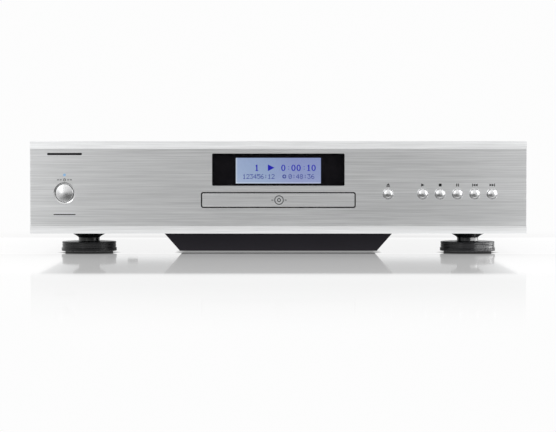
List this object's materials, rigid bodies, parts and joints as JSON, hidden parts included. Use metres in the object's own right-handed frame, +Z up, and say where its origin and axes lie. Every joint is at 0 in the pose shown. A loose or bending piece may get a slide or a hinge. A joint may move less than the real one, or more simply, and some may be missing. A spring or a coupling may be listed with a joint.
{
  "type": "cd player",
  "caption": "Full-width hi-fi CD player with a brushed aluminium front, blue display, motorised disc tray, press buttons and round feet.",
  "frame": {"origin": "middle of the bounding box, on the surface the feet stand on", "axes": "+X to the right seen from the front, +Y to the back, +Z up"},
  "size_m": [0.43, 0.314, 0.098],
  "materials": {
    "brushed_aluminium": "horizontally brushed, clear anodised",
    "button_aluminium": "satin, turned dome",
    "zinc_steel": "zinc plated sheet",
    "cover_paint": "fine textured silver",
    "rear_paint": "satin black",
    "window_acrylic": "clear, smoke tinted",
    "mask_print": "matt black print",
    "lcd_glass": "backlit, blue",
    "board_green": "solder resist",
    "led_lens": "clear blue, lit",
    "switch_plastic": "moulded",
    "trim_gloss": "semi-gloss black",
    "black_screws": "black zinc",
    "steel_screws": "zinc plated",
    "foot_gloss": "polished black",
    "pad_rubber": "matt",
    "tray_plastic": "fine moulded texture",
    "loader_plastic": "moulded",
    "gear_acetal": "natural acetal",
    "pulley_brass": "turned",
    "belt_rubber": "matt",
    "motor_steel": "nickel plated",
    "traverse_casting": "as cast",
    "turntable_rubber": "matt",
    "rod_steel": "ground",
    "lens_glass": "coated",
    "winding_tape": "wound amber tape",
    "clamp_paint": "satin grey",
    "capacitor_sleeve": "shrink sleeve",
    "chip_epoxy": "moulded epoxy",
    "inlet_plastic": "moulded",
    "jack_gold": "gold plated",
    "cable_vinyl": "flat cable"
  },
  "bodies": {
    "case": {"front_panel": "brushed_aluminium", "front_bracket": "zinc_steel", "display_window": "window_acrylic", "display_mask": "mask_print", "lcd_module": "lcd_glass", "display_board": "board_green", "power_led": "led_lens", "power_switch": "switch_plastic", "button_board": "board_green", "tact_switches": "switch_plastic", "lower_trim": "trim_gloss", "base_pan": "zinc_steel", "top_cover": "cover_paint", "rear_panel": "rear_paint", "case_screws": "black_screws", "front_left_foot": "foot_gloss", "front_right_foot": "foot_gloss", "rear_left_foot": "foot_gloss", "rear_right_foot": "foot_gloss", "foot_pads": "pad_rubber", "foot_screws": "steel_screws", "loader_frame": "loader_plastic", "mechanism_stands": "zinc_steel", "mechanism_screws": "steel_screws", "clamp_bridge": "zinc_steel", "loading_belt": "belt_rubber", "loading_motor": "motor_steel", "transformer": "winding_tape", "transformer_clamp": "clamp_paint", "supply_board": "board_green", "supply_capacitors": "capacitor_sleeve", "main_board": "board_green", "main_board_chips": "chip_epoxy", "mains_inlet": "inlet_plastic", "signal_jacks": "jack_gold", "control_sockets": "inlet_plastic", "ribbon_cables": "cable_vinyl"},
    "tray": {"disc_tray": "tray_plastic", "tray_door": "brushed_aluminium"},
    "clamp": {"disc_clamp": "loader_plastic"},
    "drive_wheel": {"drive_gear": "gear_acetal"},
    "pulley_wheel": {"pulley_gear": "gear_acetal"},
    "motor_wheel": {"motor_pulley": "pulley_brass"},
    "lifter": {"lift_slider": "gear_acetal"},
    "traverse": {"traverse_frame": "traverse_casting", "spindle_motor": "motor_steel", "guide_rods": "rod_steel", "feed_motor": "motor_steel"},
    "spindle": {"turntable": "turntable_rubber"},
    "pickup": {"pickup_sled": "loader_plastic", "objective_lens": "lens_glass"},
    "feed_wheel": {"feed_gear": "gear_acetal"},
    "feed_motor_wheel": {"feed_pinion": "gear_acetal"},
    "power_key": {"power_button": "button_aluminium"},
    "eject_key": {"eject_button": "button_aluminium"},
    "play_key": {"play_button": "button_aluminium"},
    "stop_key": {"stop_button": "button_aluminium"},
    "pause_key": {"pause_button": "button_aluminium"},
    "previous_key": {"previous_button": "button_aluminium"},
    "next_key": {"next_button": "button_aluminium"}
  },
  "joints": [
    {"name": "tray_slide", "type": "slide", "parent": "case", "child": "tray", "axis": [0, -1, 0], "range_m": [0, 0.138]},
    {"name": "drive_gear_spin", "type": "hinge", "parent": "case", "child": "drive_wheel", "pos_m": [-0.04645, -0.126, 0.044], "axis": [0, 0, 1], "continuous": true},
    {"name": "pulley_gear_spin", "type": "hinge", "parent": "case", "child": "pulley_wheel", "pos_m": [-0.02635, -0.126, 0.04], "axis": [0, 0, 1], "continuous": true},
    {"name": "motor_pulley_spin", "type": "hinge", "parent": "case", "child": "motor_wheel", "pos_m": [0.006, -0.126, 0.038], "axis": [0, 0, 1], "continuous": true},
    {"name": "clamp_spin", "type": "hinge", "parent": "case", "child": "clamp", "pos_m": [0, -0.08, 0.057], "axis": [0, 0, 1], "continuous": true},
    {"name": "traverse_tilt", "type": "hinge", "parent": "case", "child": "traverse", "pos_m": [0, 0.016, 0.038], "axis": [-1, 0, 0], "range_deg": [0, 3.6]},
    {"name": "lift_slider_slide", "type": "slide", "parent": "case", "child": "lifter", "axis": [1, 0, 0], "range_m": [0, 0.0181]},
    {"name": "spindle_spin", "type": "hinge", "parent": "traverse", "child": "spindle", "pos_m": [0, -0.08044, 0.04195], "axis": [0, -0.0628, 0.998], "continuous": true},
    {"name": "sled_slide", "type": "slide", "parent": "traverse", "child": "pickup", "axis": [0, 0.998, 0.0628], "range_m": [0, 0.035]},
    {"name": "feed_gear_spin", "type": "hinge", "parent": "traverse", "child": "feed_wheel", "pos_m": [0.03585, -0.02021, 0.04023], "axis": [0, -0.0628, 0.998], "continuous": true},
    {"name": "feed_pinion_spin", "type": "hinge", "parent": "traverse", "child": "feed_motor_wheel", "pos_m": [0.03585, -0.03468, 0.03932], "axis": [0, -0.0628, 0.998], "continuous": true},
    {"name": "power_button_press", "type": "slide", "parent": "case", "child": "power_key", "axis": [0, 1, 0], "range_m": [0, 0.0015], "stiffness_N_per_m": 900, "springref_m": -0.0015},
    {"name": "eject_button_press", "type": "slide", "parent": "case", "child": "eject_key", "axis": [0, 1, 0], "range_m": [0, 0.0009], "stiffness_N_per_m": 700, "springref_m": -0.001},
    {"name": "play_button_press", "type": "slide", "parent": "case", "child": "play_key", "axis": [0, 1, 0], "range_m": [0, 0.0009], "stiffness_N_per_m": 700, "springref_m": -0.001},
    {"name": "stop_button_press", "type": "slide", "parent": "case", "child": "stop_key", "axis": [0, 1, 0], "range_m": [0, 0.0009], "stiffness_N_per_m": 700, "springref_m": -0.001},
    {"name": "pause_button_press", "type": "slide", "parent": "case", "child": "pause_key", "axis": [0, 1, 0], "range_m": [0, 0.0009], "stiffness_N_per_m": 700, "springref_m": -0.001},
    {"name": "previous_button_press", "type": "slide", "parent": "case", "child": "previous_key", "axis": [0, 1, 0], "range_m": [0, 0.0009], "stiffness_N_per_m": 700, "springref_m": -0.001},
    {"name": "next_button_press", "type": "slide", "parent": "case", "child": "next_key", "axis": [0, 1, 0], "range_m": [0, 0.0009], "stiffness_N_per_m": 700, "springref_m": -0.001}
  ],
  "couplings": [
    {"joint": "drive_gear_spin", "follows": "tray_slide", "rad_per_m": 71.429},
    {"joint": "pulley_gear_spin", "follows": "tray_slide", "rad_per_m": -166.67},
    {"joint": "motor_pulley_spin", "follows": "tray_slide", "rad_per_m": -418.7},
    {"joint": "lift_slider_slide", "follows": "traverse_tilt", "m_per_rad": 0.28648},
    {"joint": "feed_gear_spin", "follows": "sled_slide", "rad_per_m": -104.17},
    {"joint": "feed_pinion_spin", "follows": "sled_slide", "rad_per_m": 208.33}
  ]
}
